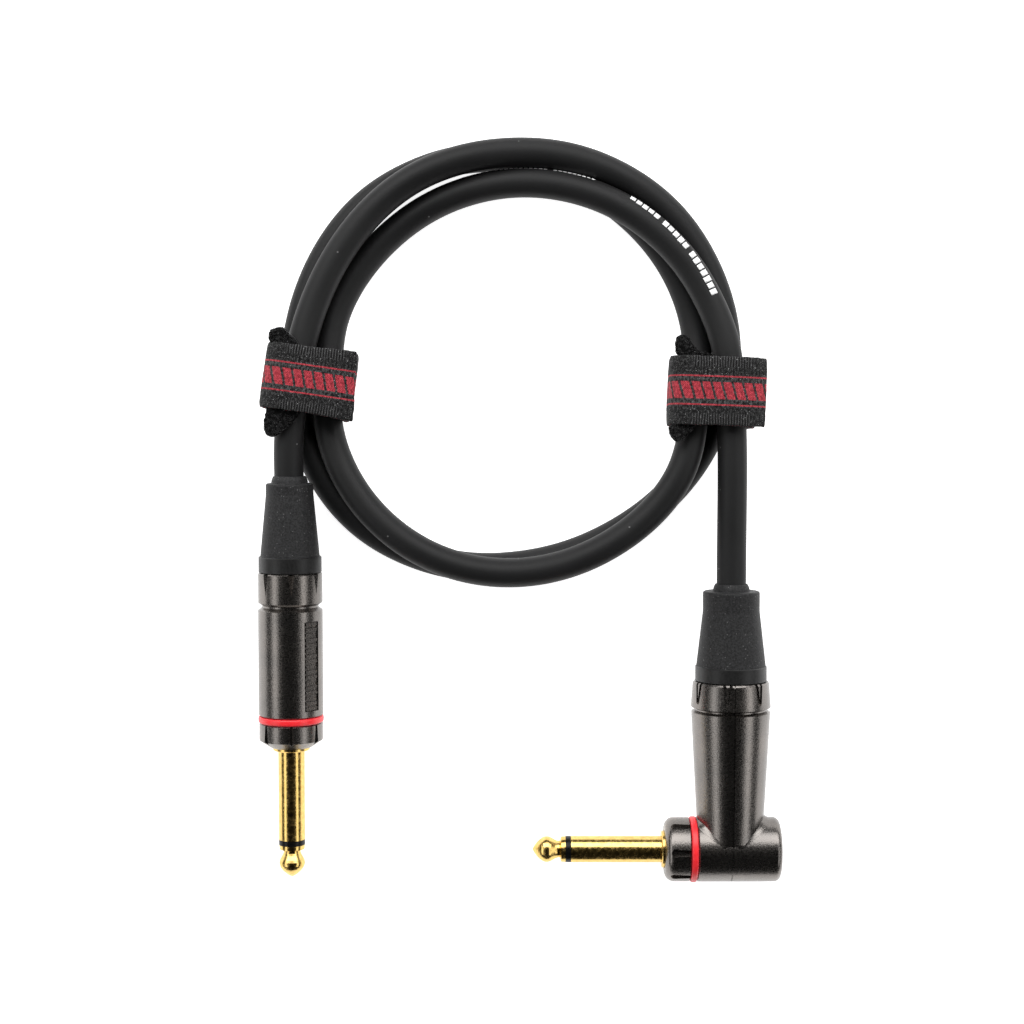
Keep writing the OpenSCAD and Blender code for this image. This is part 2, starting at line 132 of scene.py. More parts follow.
class Nodes:
    """A material's node tree, with short calls to add and join nodes."""

    def __init__(self, name):
        self.mat = bpy.data.materials.new(name)
        self.mat.use_nodes = True
        self.tree = self.mat.node_tree
        self.shader = self.tree.nodes["Principled BSDF"]
        self.coords = self.add("ShaderNodeTexCoord").outputs["Object"]

    def add(self, kind, **props):
        node = self.tree.nodes.new(kind)
        for key, value in props.items():
            setattr(node, key, value)
        return node

    def join(self, source, target):
        self.tree.links.new(source, target)

    def put(self, socket, value):
        """Links an output to a socket, or sets the socket to a plain value."""
        if isinstance(value, bpy.types.NodeSocket):
            self.join(value, socket)
        else:
            socket.default_value = value

    def noise(self, scale, detail=2.0, rough=0.5, vector=None):
        node = self.add("ShaderNodeTexNoise")
        node.inputs["Scale"].default_value = scale
        node.inputs["Detail"].default_value = detail
        node.inputs["Roughness"].default_value = rough
        self.join(vector or self.coords, node.inputs["Vector"])
        return node.outputs["Fac"]

    def ramp(self, value, low, high, a=0.0, b=1.0):
        """Value mapped from low..high to a..b, clamped."""
        node = self.add("ShaderNodeMapRange")
        self.join(value, node.inputs["Value"])
        for key, number in (("From Min", low), ("From Max", high), ("To Min", a), ("To Max", b)):
            node.inputs[key].default_value = number
        return node.outputs["Result"]

    def maths(self, operation, a, b=0.0):
        node = self.add("ShaderNodeMath", operation=operation)
        self.put(node.inputs[0], a)
        self.put(node.inputs[1], b)
        return node.outputs[0]

    def mix(self, factor, a, b):
        """Colour between a and b."""
        node = self.add("ShaderNodeMix", data_type="RGBA")
        self.put(node.inputs["Factor"], factor)
        self.put(node.inputs[6], a)
        self.put(node.inputs[7], b)
        return node.outputs[2]

    def bump(self, height, distance, strength=1.0):
        node = self.add("ShaderNodeBump")
        node.inputs["Distance"].default_value = distance
        node.inputs["Strength"].default_value = strength
        self.join(height, node.inputs["Height"])
        return node.outputs["Normal"]

    def scaled(self, vector, x, y):
        node = self.add("ShaderNodeVectorMath", operation="MULTIPLY")
        self.join(vector, node.inputs[0])
        node.inputs[1].default_value = (x, y, 1)
        return node.outputs[0]

    def specks(self, scale, share, size, vector=None):
        """Sparse round specks: 1 inside one, 0 elsewhere."""
        cells = self.add("ShaderNodeTexVoronoi")
        cells.inputs["Scale"].default_value = scale
        self.join(vector or self.coords, cells.inputs["Vector"])
        pick = self.add("ShaderNodeSeparateColor")
        self.join(cells.outputs["Color"], pick.inputs["Color"])
        chosen = self.maths("GREATER_THAN", pick.outputs[0], 1 - share)
        near = self.maths("LESS_THAN", cells.outputs["Distance"], size)
        return self.maths("MULTIPLY", chosen, near)

    def finish(self, colour, roughness, metallic=0.0, normal=None, **sockets):
        self.put(self.shader.inputs["Base Color"], colour)
        self.put(self.shader.inputs["Roughness"], roughness)
        self.shader.inputs["Metallic"].default_value = metallic
        if normal:
            self.join(normal, self.shader.inputs["Normal"])
        for key, value in sockets.items():
            self.put(self.shader.inputs[key], value)
        return self.mat


def rgb(r, g, b):
    return (r, g, b, 1.0)


def grey_of(value):
    return rgb(value, value, value)


# ---------------------------------------------------------------- materials


def gunmetal():
    n = Nodes("gunmetal")
    grain = n.noise(3000, 2, 0.6)
    cloud = n.noise(140, 2)
    colour = n.mix(n.ramp(cloud, 0.35, 0.65), rgb(0.158, 0.148, 0.140), rgb(0.190, 0.174, 0.162))
    colour = n.mix(n.ramp(grain, 0.45, 0.7, 0.0, 0.4), colour, rgb(0.235, 0.215, 0.200))
    roughness = n.ramp(grain, 0.3, 0.7, 0.22, 0.34)
    return n.finish(colour, roughness, 1.0, n.bump(grain, 0.000035, 0.8))


def gold():
    n = Nodes("gold")
    scuff = n.noise(1100, 3, 0.6)
    colour = n.mix(n.ramp(scuff, 0.35, 0.65), rgb(0.60, 0.405, 0.120), rgb(0.84, 0.580, 0.195))
    return n.finish(colour, n.ramp(scuff, 0.3, 0.7, 0.17, 0.30), 1.0, n.bump(scuff, 0.000012, 0.6))


def red_plastic():
    n = Nodes("ring_red")
    fine = n.noise(1500, 2)
    colour = n.mix(n.ramp(fine, 0.3, 0.7), rgb(0.90, 0.020, 0.030), rgb(0.98, 0.036, 0.046))
    return n.finish(colour, n.ramp(fine, 0.3, 0.7, 0.30, 0.42), normal=n.bump(fine, 0.00001, 0.5))


def black_plastic(name, shade, rough, grain_scale, depth, gloss=0.5):
    n = Nodes(name)
    fine = n.noise(grain_scale, 3, 0.6)
    colour = n.mix(n.ramp(fine, 0.35, 0.65), grey_of(shade * 0.8), grey_of(shade * 1.25))
    sockets = {"Specular IOR Level": gloss}
    roughness = n.ramp(fine, 0.3, 0.7, rough - 0.05, rough + 0.07)
    return n.finish(colour, roughness, normal=n.bump(fine, depth, 0.6), **sockets)


def boot_rubber():
    n = Nodes("boot_rubber")
    fine = n.noise(2400, 3, 0.65)
    base = n.mix(n.ramp(fine, 0.38, 0.64), rgb(0.005, 0.005, 0.0052), rgb(0.025, 0.025, 0.026))
    colour = n.mix(n.specks(1900, 0.16, 0.24), base, rgb(0.085, 0.085, 0.085))
    sockets = {"Specular IOR Level": 0.3}
    return n.finish(colour, n.ramp(fine, 0.3, 0.7, 0.52, 0.66), normal=n.bump(fine, 0.00009, 1.0), **sockets)


def jacket_rubber():
    n = Nodes("jacket")
    cloud = n.noise(45, 2)
    fine = n.noise(3200, 2)
    base = n.mix(n.ramp(cloud, 0.35, 0.65), rgb(0.0080, 0.0080, 0.0083), rgb(0.0115, 0.0115, 0.0118))
    colour = n.mix(n.specks(420, 0.07, 0.09), base, rgb(0.10, 0.10, 0.10))
    sockets = {"Specular IOR Level": 0.24}
    return n.finish(colour, n.ramp(cloud, 0.3, 0.7, 0.49, 0.58), normal=n.bump(fine, 0.00003, 0.8), **sockets)


# The webbing's pattern, in millimetres: thread pitches, half width of the block band and where the lines run
WEAVE_WARP = 0.42
WEAVE_WEFT = 0.46
WEAVE_BAND = 2.0
WEAVE_PERIOD = 2.45
WEAVE_FILL = 0.76
WEAVE_SLANT = 0.3
WEAVE_LINE = 3.35
WEAVE_LINE_W = 0.36
# where in the pattern the strap's plain inside takes its weave from
WEAVE_INSIDE = 4.6
# distances from the strap's middle between which the dark gaps between threads begin to show
WEAVE_GAPS = 3.5, 4.0


def woven():
    """Strap webbing: heather grey, with red lines and slanted red blocks woven in along its middle."""
    n = Nodes("tie_woven")
    weave = n.add("ShaderNodeUVMap", uv_map="weave").outputs["UV"]
    place = n.add("ShaderNodeSeparateXYZ")
    n.join(weave, place.inputs["Vector"])
    along, across = place.outputs["X"], place.outputs["Y"]
    stands = n.add("ShaderNodeSeparateXYZ")
    n.join(n.add("ShaderNodeUVMap", uv_map="relief").outputs["UV"], stands.inputs["Vector"])
    relief, rib_zone = stands.outputs["X"], stands.outputs["Y"]
    warp = n.maths("SINE", n.maths("MULTIPLY", along, 2 * math.pi / WEAVE_WARP))
    weft = n.maths("SINE", n.maths("MULTIPLY", across, 2 * math.pi / WEAVE_WEFT))
    thread = n.ramp(n.maths("MULTIPLY", warp, weft), -1, 1)
    fleck = n.noise(1.0, 3, 0.65, n.scaled(weave, 2.3, 1.25))
    yarn = n.noise(1.0, 2, 0.6, n.scaled(weave, 3.6, 3.0))
    from_middle = n.maths("ABSOLUTE", across)
    grey = n.mix(n.ramp(fleck, 0.42, 0.60), rgb(0.003, 0.003, 0.0032), rgb(0.115, 0.115, 0.115))
    grey = n.mix(n.ramp(thread, 0.1, 0.9, 0.40, 0.0), grey, rgb(0.012, 0.012, 0.012))
    # beside the lines dark gaps open between the threads, and along the edges the grooves between the ribs get
    # painted shade
    gap = n.maths("MULTIPLY", n.ramp(yarn, 0.46, 0.55, 1.0, 0.0), n.ramp(from_middle, *WEAVE_GAPS))
    gap = n.maths("MULTIPLY", gap, n.maths("SUBTRACT", 1.0, rib_zone))
    grey = n.mix(n.maths("MULTIPLY", gap, 0.95), grey, rgb(0.002, 0.002, 0.002))
    # painted shade: the rib colour runs from near black in the grooves between the ribs to plain grey on their
    # crests
    rib = n.mix(n.ramp(relief, 0.45, 0.9), rgb(0.001, 0.001, 0.001), rgb(0.120, 0.120, 0.121))
    rib = n.mix(n.ramp(yarn, 0.40, 0.60, 0.55, 0.0), rib, rgb(0.010, 0.010, 0.010))
    grey = n.mix(n.maths("MULTIPLY", rib_zone, 0.9), grey, rib)
    grey = n.mix(n.specks(2.1, 0.20, 0.22, weave), grey, rgb(0.28, 0.28, 0.28))
    band = n.maths("LESS_THAN", from_middle, WEAVE_BAND)
    slanted = n.maths("ADD", along, n.maths("MULTIPLY", across, WEAVE_SLANT))
    slanted = n.maths("ADD", slanted, n.ramp(yarn, 0.3, 0.7, -0.12, 0.12))
    block = n.maths("LESS_THAN", n.maths("FRACT", n.maths("DIVIDE", slanted, WEAVE_PERIOD)), WEAVE_FILL)
    off_line = n.maths("ABSOLUTE", n.maths("SUBTRACT", from_middle, WEAVE_LINE))
    line = n.maths("LESS_THAN", off_line, WEAVE_LINE_W / 2)
    mark = n.maths("MAXIMUM", n.maths("MULTIPLY", band, block), line)
    red = n.mix(n.ramp(fleck, 0.38, 0.62), rgb(0.30, 0.022, 0.034), rgb(0.78, 0.090, 0.118))
    red = n.mix(n.ramp(thread, 0.1, 0.9, 0.35, 0.0), red, rgb(0.20, 0.012, 0.020))
    colour = n.mix(n.maths("MULTIPLY", mark, n.ramp(yarn, 0.26, 0.36, 0.3, 1.0)), grey, red)
    height = n.maths("ADD", thread, fleck)
    sockets = {"Specular IOR Level": 0.15, "Sheen Weight": 0.08}
    return n.finish(colour, n.ramp(fleck, 0.3, 0.7, 0.75, 0.9), normal=n.bump(height, 0.0002, 1.0), **sockets)


def nap():
    """Loop pile: black hollows, dark grey loops and a few that catch the light."""
    n = Nodes("tie_nap")
    loops = n.noise(1300, 3, 0.7)
    colour = n.mix(n.ramp(loops, 0.50, 0.66), rgb(0.0006, 0.0006, 0.0006), rgb(0.022, 0.022, 0.0225))
    colour = n.mix(n.specks(2300, 0.13, 0.26), colour, rgb(0.11, 0.11, 0.11))
    sockets = {"Specular IOR Level": 0.1}
    return n.finish(colour, n.ramp(loops, 0.3, 0.7, 0.8, 0.95), normal=n.bump(loops, 0.0003, 1.0), **sockets)


def fibre(name, shade):
    n = Nodes(name)
    fine = n.noise(1800, 2)
    colour = n.mix(fine, grey_of(shade * 0.5), grey_of(shade * 1.5))
    return n.finish(colour, n.ramp(fine, 0.3, 0.7, 0.4, 0.6))


def print_white():
    n = Nodes("print_white")
    worn = n.noise(2500, 2)
    colour = n.mix(n.ramp(worn, 0.35, 0.6), rgb(0.85, 0.85, 0.85), rgb(0.97, 0.97, 0.97))
    return n.finish(colour, 0.5)


def tinned(name, tint):
    n = Nodes(name)
    fine = n.noise(1200, 2)
    darker = rgb(*[c * 0.8 for c in tint])
    return n.finish(n.mix(fine, darker, rgb(*tint)), n.ramp(fine, 0.3, 0.7, 0.25, 0.4), 1.0, n.bump(fine, 0.00001))


SLOT_MATERIALS = {
    "gold": gold(),
    "gunmetal": gunmetal(),
    "ring_red": red_plastic(),
    "insulator_black": black_plastic("insulator_black", 0.003, 0.30, 1800, 0.00001, 0.2),
    "nut_black": black_plastic("nut_black", 0.010, 0.42, 1700, 0.00006, 0.35),
    "boot_rubber": boot_rubber(),
    "jacket": jacket_rubber(),
    "terminal_brass": tinned("terminal_brass", (0.85, 0.74, 0.50)),
    "washer_fibre": black_plastic("washer_fibre", 0.12, 0.6, 900, 0.00002),
    "liner_clear": black_plastic("liner_clear", 0.55, 0.5, 700, 0.00001),
    "chuck_plastic": black_plastic("chuck_plastic", 0.06, 0.45, 900, 0.00001),
    "copper": tinned("copper", (0.90, 0.48, 0.30)),
    "shield_tin": tinned("shield_tin", (0.80, 0.78, 0.74)),
    "core_white": black_plastic("core_white", 0.65, 0.35, 900, 0.00001),
    "tie_woven": woven(),
    "tie_nap": nap(),
}


def dress_cad_nodes():
    for row in frame["record"]["subparts"]:
        material = SLOT_MATERIALS.get(row["material_slot"])
        mesh = nodes[row["node"]].data
        if material:
            mesh.materials.clear()
            mesh.materials.append(material)


dress_cad_nodes()


# ---------------------------------------------------------------- cable

CABLE_D = 7 * MM
STRAIGHT_ROUTE = [
    (-54.6, -3.5, 9.3), (-54.6, 11.5, 10.2), (-54.6, 26.5, 11.1), (-54.6, 41.5, 12), (-53.9, 48, 12.1),
    (-52.9, 55, 12.1),
]
ANGLED_ROUTE = [
    (50.6, -28, 9.3), (50.6, -13, 10.05), (50.6, 2, 10.8), (50.6, 14, 11.4), (50.7, 29, 12), (50.6, 42, 12),
    (50, 54, 12),
]
COIL_CENTRE = (-0.45, 58.5)
# Where the cable runs in the coil, turn by turn: angle in degrees, radius and height in millimetres.
COIL_STATIONS = [
    # first pass over the top, above its neighbours and then down to the table
    (180, 52, 12), (170, 50.8, 11.4), (150, 49.8, 10.7), (120, 50.3, 10.5), (90, 50.1, 10.7),
    (75, 50.6, 9.9), (60, 51.1, 8.4), (45, 51.6, 6.2), (30, 51.5, 4.3), (12, 51.1, 3.9),
    # along the bottom, on the table
    (-8, 50.2, 4.9), (-25, 49.2, 4.3), (-45, 47.9, 3.6), (-60, 47.3, 3.6), (-75, 47.6, 3.6),
    (-90, 48.6, 3.6), (-105, 50.4, 3.6), (-120, 52.2, 3.6), (-135, 53.8, 3.6), (-150, 54.3, 3.8),
    (-165, 54.1, 4.5),
    # second pass over the top, from the outside to the inside under the first
    (-176, 53.7, 5), (-190, 53.4, 4.3), (-210, 53.4, 3.6), (-228, 53.3, 3.6), (-242, 52.4, 3.6),
    (-255, 51.4, 3.6), (-270, 49.7, 3.6), (-285, 47.5, 3.6), (-300, 45.8, 3.6), (-315, 44.9, 3.6),
    (-330, 44.4, 3.6), (-347, 44.0, 3.7),
    # second time along the bottom, on top of the first
    (-358, 43.6, 4.9), (-370, 43.4, 7.6), (-381, 44.8, 9.9), (-392, 46.7, 10.9), (-405, 47.9, 10.7),
    (-420, 48.6, 10.7), (-435, 49.4, 10.7), (-450, 50.1, 10.7), (-465, 50.5, 10.7), (-480, 50.4, 10.4),
    (-495, 49.8, 9.8), (-510, 48.8, 8.6), (-525, 47.2, 7.2),
    # last pass over the top, inside, then across the others to the right-hand tie
    (-537, 45.6, 6.3), (-552, 45.4, 5.2), (-570, 44.4, 4.6), (-585, 43.6, 4.9), (-600, 43.2, 5.9),
    (-615, 43, 7.4), (-630, 43.1, 8.9), (-645, 43.5, 10), (-660, 44.3, 10.7), (-675, 45.4, 10.8),
    (-690, 46.8, 10.6), (-705, 48.4, 10.9), (-717, 49.9, 11.8),
]


def coil_points():
    points = []
    for degrees, radius, height in COIL_STATIONS:
        a = math.radians(degrees)
        x = COIL_CENTRE[0] + radius * math.cos(a)
        y = COIL_CENTRE[1] + radius * math.sin(a)
        points.append((x, y, height))
    return points


def smooth_line(points, step):
    """Points every step along the natural cubic spline through the given points."""
    p = np.array(points, float)
    t = np.concatenate([[0], np.cumsum(np.linalg.norm(np.diff(p, axis=0), axis=1))])
    h = np.diff(t)
    count = len(p)
    a, b = np.eye(count), np.zeros_like(p)
    for i in range(1, count - 1):
        a[i, i - 1:i + 2] = h[i - 1], 2 * (h[i - 1] + h[i]), h[i]
        b[i] = 6 * ((p[i + 1] - p[i]) / h[i] - (p[i] - p[i - 1]) / h[i - 1])
    m = np.linalg.solve(a, b)
    at = np.linspace(0, t[-1], math.ceil(t[-1] / step) + 1)
    i = np.clip(np.searchsorted(t, at, side="right") - 1, 0, count - 2)
    u, v, w = (at - t[i])[:, None], (t[i + 1] - at)[:, None], h[i][:, None]
    near, far = m[i] * v ** 3 + m[i + 1] * u ** 3, (p[i] / w - m[i] * w / 6) * v
    return near / (6 * w) + far + (p[i + 1] / w - m[i + 1] * w / 6) * u


def path_frames(line):
    """For each point of a line: its direction, the way up and the way out to the left."""
    ahead = np.gradient(line, axis=0)
    ahead /= np.linalg.norm(ahead, axis=1)[:, None]
    up = np.array([0.0, 0, 1]) - ahead[:, 2:3] * ahead
    up /= np.linalg.norm(up, axis=1)[:, None]
    return ahead, up, np.cross(up, ahead)


CABLE_STEP = 1.5 * MM
CABLE_SIDES = 36
cable_line = smooth_line(np.array(STRAIGHT_ROUTE + coil_points() + ANGLED_ROUTE[::-1]) * MM, CABLE_STEP)
cable_ahead, cable_up, cable_out = path_frames(cable_line)
cable_along = np.concatenate([[0], np.cumsum(np.linalg.norm(np.diff(cable_line, axis=0), axis=1))])


def on_jacket(at, degrees, lift=0.0):
    """Point on the jacket, at metres along the cable and so many degrees from the top towards the outside."""
    centre, up, out = (
        np.array([np.interp(at, cable_along, values[:, k]) for k in range(3)])
        for values in (cable_line, cable_up, cable_out)
    )
    a = math.radians(degrees)
    return centre + (CABLE_D / 2 + lift) * (math.cos(a) * up + math.sin(a) * out)


def make_cable():
    rings = [[on_jacket(at, 360 * k / CABLE_SIDES) for k in range(CABLE_SIDES)] for at in cable_along]
    return dress(lofted("cable", [rings]), SLOT_MATERIALS["jacket"], "jacket",
                 "straight_lead", "angled_lead", "cable_coil")


cable = make_cable()


# ---------------------------------------------------------------- print on the jacket

MARK_LIFT = 0.03 * MM
MARK_SIDES = 6
MARK_STEP = 0.5 * MM
BOLD_GROUPS = [5, 5, 7]
BOLD_LEN, BOLD_GAP, BOLD_SPACE = 1.3 * MM, 0.35 * MM, 1.0 * MM
FINE_GROUPS = [6, 11, 9]
FINE_LEN, FINE_GAP, FINE_SPACE = 0.75 * MM, 0.35 * MM, 1.1 * MM


def coil_angles():
    """Angle of each point of the cable about the coil's centre, in degrees; it falls along the cable."""
    off = cable_line[:, :2] / MM - np.array(COIL_CENTRE)
    return 360 + np.degrees(np.unwrap(np.arctan2(off[:, 1], off[:, 0])))


cable_angle = coil_angles()


def place_at_angle(degrees):
    """Metres along the cable where it has this angle about the coil's centre."""
    return float(np.interp(-degrees, -cable_angle, cable_along))


def jacket_mark(start, length, middle, height):
    """Thin plate on the jacket: start and length along it, and its height round it, whose middle is in degrees."""
    half = math.degrees(height / CABLE_D)
    sides = [middle - half + 2 * half * k / MARK_SIDES for k in range(MARK_SIDES + 1)]
    rows = max(2, math.ceil(length / MARK_STEP)) + 1
    return [
        [on_jacket(start + length * i / (rows - 1), a, MARK_LIFT) for a in sides]
        + [on_jacket(start + length * i / (rows - 1), a, -MARK_LIFT) for a in reversed(sides)]
        for i in range(rows)
    ]


def block_row(first, groups, length, gap, space, near, far, height):
    """Row of plain blocks in groups, from an angle of the coil on; its middle drifts from near to far degrees."""
    total = sum(groups) * (length + gap) + (len(groups) - 1) * space
    start, at, marks = place_at_angle(first) - total, 0.0, []
    for group in groups:
        for _ in range(group):
            middle = near + (far - near) * (1 - at / total)
            marks.append(jacket_mark(start + at, length, middle, height * (0.92 + 0.08 * (len(marks) % 3))))
            at += length + gap
        at += space
    return marks


def dashed_line(first, last, degrees, dash, gap, height):
    at, end, marks = place_at_angle(first), place_at_angle(last), []
    while at < end:
        marks.append(jacket_mark(at, dash, degrees, height))
        at += dash + gap
    return marks


def make_print():
    bold = block_row(-702, BOLD_GROUPS, BOLD_LEN, BOLD_GAP, BOLD_SPACE, 24, 57, 1.9 * MM)
    fine = block_row(-654, FINE_GROUPS, FINE_LEN, FINE_GAP, FINE_SPACE, 72, 80, 1.2 * MM)
    thin = dashed_line(-517, -477, 84, 1.0 * MM, 0.5 * MM, 0.25 * MM)
    dress(lofted("jacket_print", bold + fine + thin), print_white(), "core_white")


make_print()


# ---------------------------------------------------------------- ties

# Course of the strap's middle in its own cross-section (across the cables, height), from its hidden inner end
# under the nap round the cables and over the top to the cut end.
STRAP_COURSE = [
    (1.2, 16.2), (4.5, 16.2), (7.4, 15), (9.1, 12.3), (9.6, 8.5), (9.1, 4.6), (7.2, 1.7), (4, 0.9), (0, 0.85),
    (-4, 0.9), (-7.4, 1.8), (-9.8, 4.6), (-10.5, 8.5), (-10.6, 12.5), (-10.1, 16), (-8, 17.6), (-4, 17.95),
    (0, 17.95), (4, 17.85), (7.5, 17.45), (9.8, 16.8), (11.3, 16),
]
STRAP_T = 1.2
# where the cut end lies in that section, and how many threads fray there
CUT_X, CUT_HEIGHT = 11.2, 16.2
FRAYS = 46
STRAP_STEP = 0.15
STRAP_COLUMNS = 52
RIB_PITCH = 0.63
RIB_HEIGHT = 0.11
# distance from the strap's middle where the ribs start, and where the loose threads beside them start and are full
RIB_INSIDE = 5.2
LOOSE_FROM, LOOSE_FULL = 3.6, 4.1
LOOSE_HEIGHT, WAVE_HEIGHT, GRAIN_HEIGHT = 0.10, 0.14, 0.05
# the ribs fade in and out over these places across the cables, so that none stands on the bends at the sides
RIBS_FADE_IN, RIBS_FADE_OUT = (-7.5, -5), (7, 9)


def step_up(value, low, high):
    t = min(1.0, max(0.0, (value - low) / (high - low)))
    return t * t * (3 - 2 * t)


def on_tie(at, turn, x, y, z):
    """Point of a tie's own frame, in millimetres, in the row frame in metres."""
    a = math.radians(turn)
    return (
        (at[0] + x * math.cos(a) - y * math.sin(a)) * MM,
        (at[1] + x * math.sin(a) + y * math.cos(a)) * MM,
        z * MM,
    )


def strap_relief(x, along, across, seed):
    """How far the webbing stands out, then its rib height and rib zone, each from 0 to 1."""
    side = abs(across)
    edge = step_up(side, RIB_INSIDE, RIB_INSIDE + 0.5)
    shown = step_up(x, *RIBS_FADE_IN) * (1 - step_up(x, *RIBS_FADE_OUT))
    wobble = 0.6 * perlin.noise((along * 0.35, across * 0.5, seed))
    rib = edge * shown * math.sin(2 * math.pi * along / RIB_PITCH + 2.2 * wobble)
    loose = step_up(side, LOOSE_FROM, LOOSE_FULL) * (1 - edge)
    pile = LOOSE_HEIGHT * loose * perlin.noise((along * 2.2, across * 2.2, seed + 5))
    wave = WAVE_HEIGHT * perlin.noise((along * 0.22, across * 0.16, seed + 9))
    grain = GRAIN_HEIGHT * perlin.noise((along * 1.6, across * 1.6, seed + 13))
    return RIB_HEIGHT * rib + pile + wave + grain, (0.5 + 0.5 * rib, edge * shown)


def make_strap(name, at, turn, seed, middle, half_widths, cut_slant, replaced):
    """Webbing strap: half widths at its start and its cut end, whose edge leans by cut_slant."""
    course = smooth_line(np.array(STRAP_COURSE), STRAP_STEP)
    ahead = np.gradient(course, axis=0)
    ahead /= np.linalg.norm(ahead, axis=1)[:, None]
    away = np.stack([-ahead[:, 1], ahead[:, 0]], axis=1)
    travel = np.concatenate([[0], np.cumsum(np.linalg.norm(np.diff(course, axis=0), axis=1))])
    rows, total = len(course), travel[-1]
    rings, weave = [], []
    for i in range(rows):
        share = i / (rows - 1)
        ring, marks = [], []
        for face in (1, -1):
            for k in range(STRAP_COLUMNS + 1) if face > 0 else range(STRAP_COLUMNS, -1, -1):
                v = 2 * k / STRAP_COLUMNS - 1
                end = total - cut_slant * (0.5 + 0.5 * v) + 0.28 * perlin.noise((v * 9, seed, 3.3))
                along = share * end
                x, z, nx, nz = (np.interp(along, travel, c) for c in (*course.T, *away.T))
                half = half_widths[0] + (half_widths[1] - half_widths[0]) * step_up(x, 0, 11)
                ragged = 0.16 * perlin.noise((along * 0.9, math.copysign(4, v), seed)) * abs(v) ** 6
                across = v * half
                out = face * STRAP_T / 2 * (1 - 0.55 * abs(v) ** 14)
                height, relief = strap_relief(x, along, across, seed)
                if face > 0:
                    out += height
                ring.append(on_tie(at, turn, x + nx * out, middle + across + ragged, z + nz * out))
                marks.append((along, across, *relief) if face > 0 else (along, WEAVE_INSIDE, 0, 0))
        rings.append(ring)
        weave += marks
    strap = lofted(name, [rings])
    for layer_name, first in (("weave", 0), ("relief", 2)):
        layer = strap.data.uv_layers.new(name=layer_name)
        for loop in strap.data.loops:
            layer.data[loop.index].uv = weave[loop.vertex_index][first:first + 2]
    dress(strap, SLOT_MATERIALS["tie_woven"], "tie_woven", replaced)


def thread(points, radius):
    """Rings of a three-sided thread through a few points, in millimetres of the tie's own frame."""
    rings = []
    for i, point in enumerate(points):
        thin = radius * (1 - 0.5 * i / (len(points) - 1))
        rings.append([
            (point[0] + thin * math.cos(a), point[1] + thin * math.sin(a), point[2] + thin * math.sin(a + 1))
            for a in (0, 2.1, 4.2)
        ])
    return rings


def place_threads(name, at, turn, threads, material, slot):
    solids = [[[on_tie(at, turn, *point) for point in ring] for ring in rings] for rings in threads]
    dress(lofted(name, solids), material, slot)


# Each nap head's outline in its tie's own frame, from its near end to its far end: place along the cables, then
# its left and right edges.
LEFT_HEAD = [
    (-13.9, -7.6, -6.3), (-13.5, -8.3, -5.6), (-12.4, -8.8, -4.5), (-11.3, -9.1, -3.5), (-10.4, -9.1, -2.7),
    (-9, -8.9, -1.8), (-7.9, -9.0, -1), (0, -9.1, 0.3), (7.4, -9.1, -2.4), (8.1, -10.3, -3.2), (8.7, -10.7, -4),
    (9.6, -10.8, -5.1), (10.4, -10.8, -5.9), (11.1, -10.2, -6.6), (11.6, -9.2, -7.2), (11.9, -8.5, -7.8),
]
RIGHT_HEAD = [
    (-12.3, -9.2, -8.7), (-12, -9.7, -8), (-11.4, -10.3, -7.3), (-10.6, -10.8, -6.6), (-9.6, -11, -5.8),
    (-8.7, -11.1, -5), (-7.8, -9.5, -4.2), (0, -9.1, 0), (7.6, -9.1, 0.6), (8.5, -10, -0.6), (9, -10.1, -3.9),
    (9.6, -10.1, -4.9), (10.4, -10.2, -5.9), (11.4, -10.2, -6.6), (12.4, -9.8, -7.2), (12.9, -9.2, -7.9),
]
HEAD_LOW, HEAD_HIGH = 15.75, 17.1
HEAD_ROWS = 130
HEAD_COLUMNS = 44
HEAD_ROUGH = 0.3
# how square the head's section is: 1 for an ellipse, towards 0 for a box
HEAD_SQUARE = 0.55
LOOP_R, FRAY_R, STRAY_R = 0.045, 0.05, 0.06
# the strap covers the head up to this far from the middle
HEAD_COVERED = 8.4


def head_span(outline, y):
    ys, left, right = zip(*outline)
    return float(np.interp(y, ys, left)), float(np.interp(y, ys, right))


def make_head(name, at, turn, seed, outline, replaced):
    first, last = outline[0][0], outline[-1][0]
    rings = []
    for i in range(HEAD_ROWS):
        y = first + (last - first) * i / (HEAD_ROWS - 1)
        left, right = head_span(outline, y)
        centre, half = (left + right) / 2, (right - left) / 2
        tip = min(1.0, min(y - first, last - y) / 1.2)
        thick = (HEAD_HIGH - HEAD_LOW) / 2 * (0.35 + 0.65 * math.sqrt(max(0.0, tip)))
        level = (HEAD_HIGH + HEAD_LOW) / 2
        ring = []
        for k in range(HEAD_COLUMNS):
            a = 2 * math.pi * k / HEAD_COLUMNS
            cx = math.copysign(abs(math.cos(a)) ** HEAD_SQUARE, math.cos(a))
            cz = math.copysign(abs(math.sin(a)) ** HEAD_SQUARE, math.sin(a))
            x, z = centre + half * cx, level + thick * cz
            free = step_up(abs(y), 8.2, 9)
            rough = HEAD_ROUGH * free * perlin.noise((x * 1.7, y * 1.7, z * 1.7 + seed))
            rough += 0.5 * HEAD_ROUGH * free * perlin.noise((x * 4.1, y * 4.1, z * 4.1 + seed))
            ring.append(on_tie(at, turn, x + rough * cx, y + 0.6 * rough, z + rough * cz))
        rings.append(ring)
    dress(lofted(name, [rings]), SLOT_MATERIALS["tie_nap"], "tie_nap", replaced)


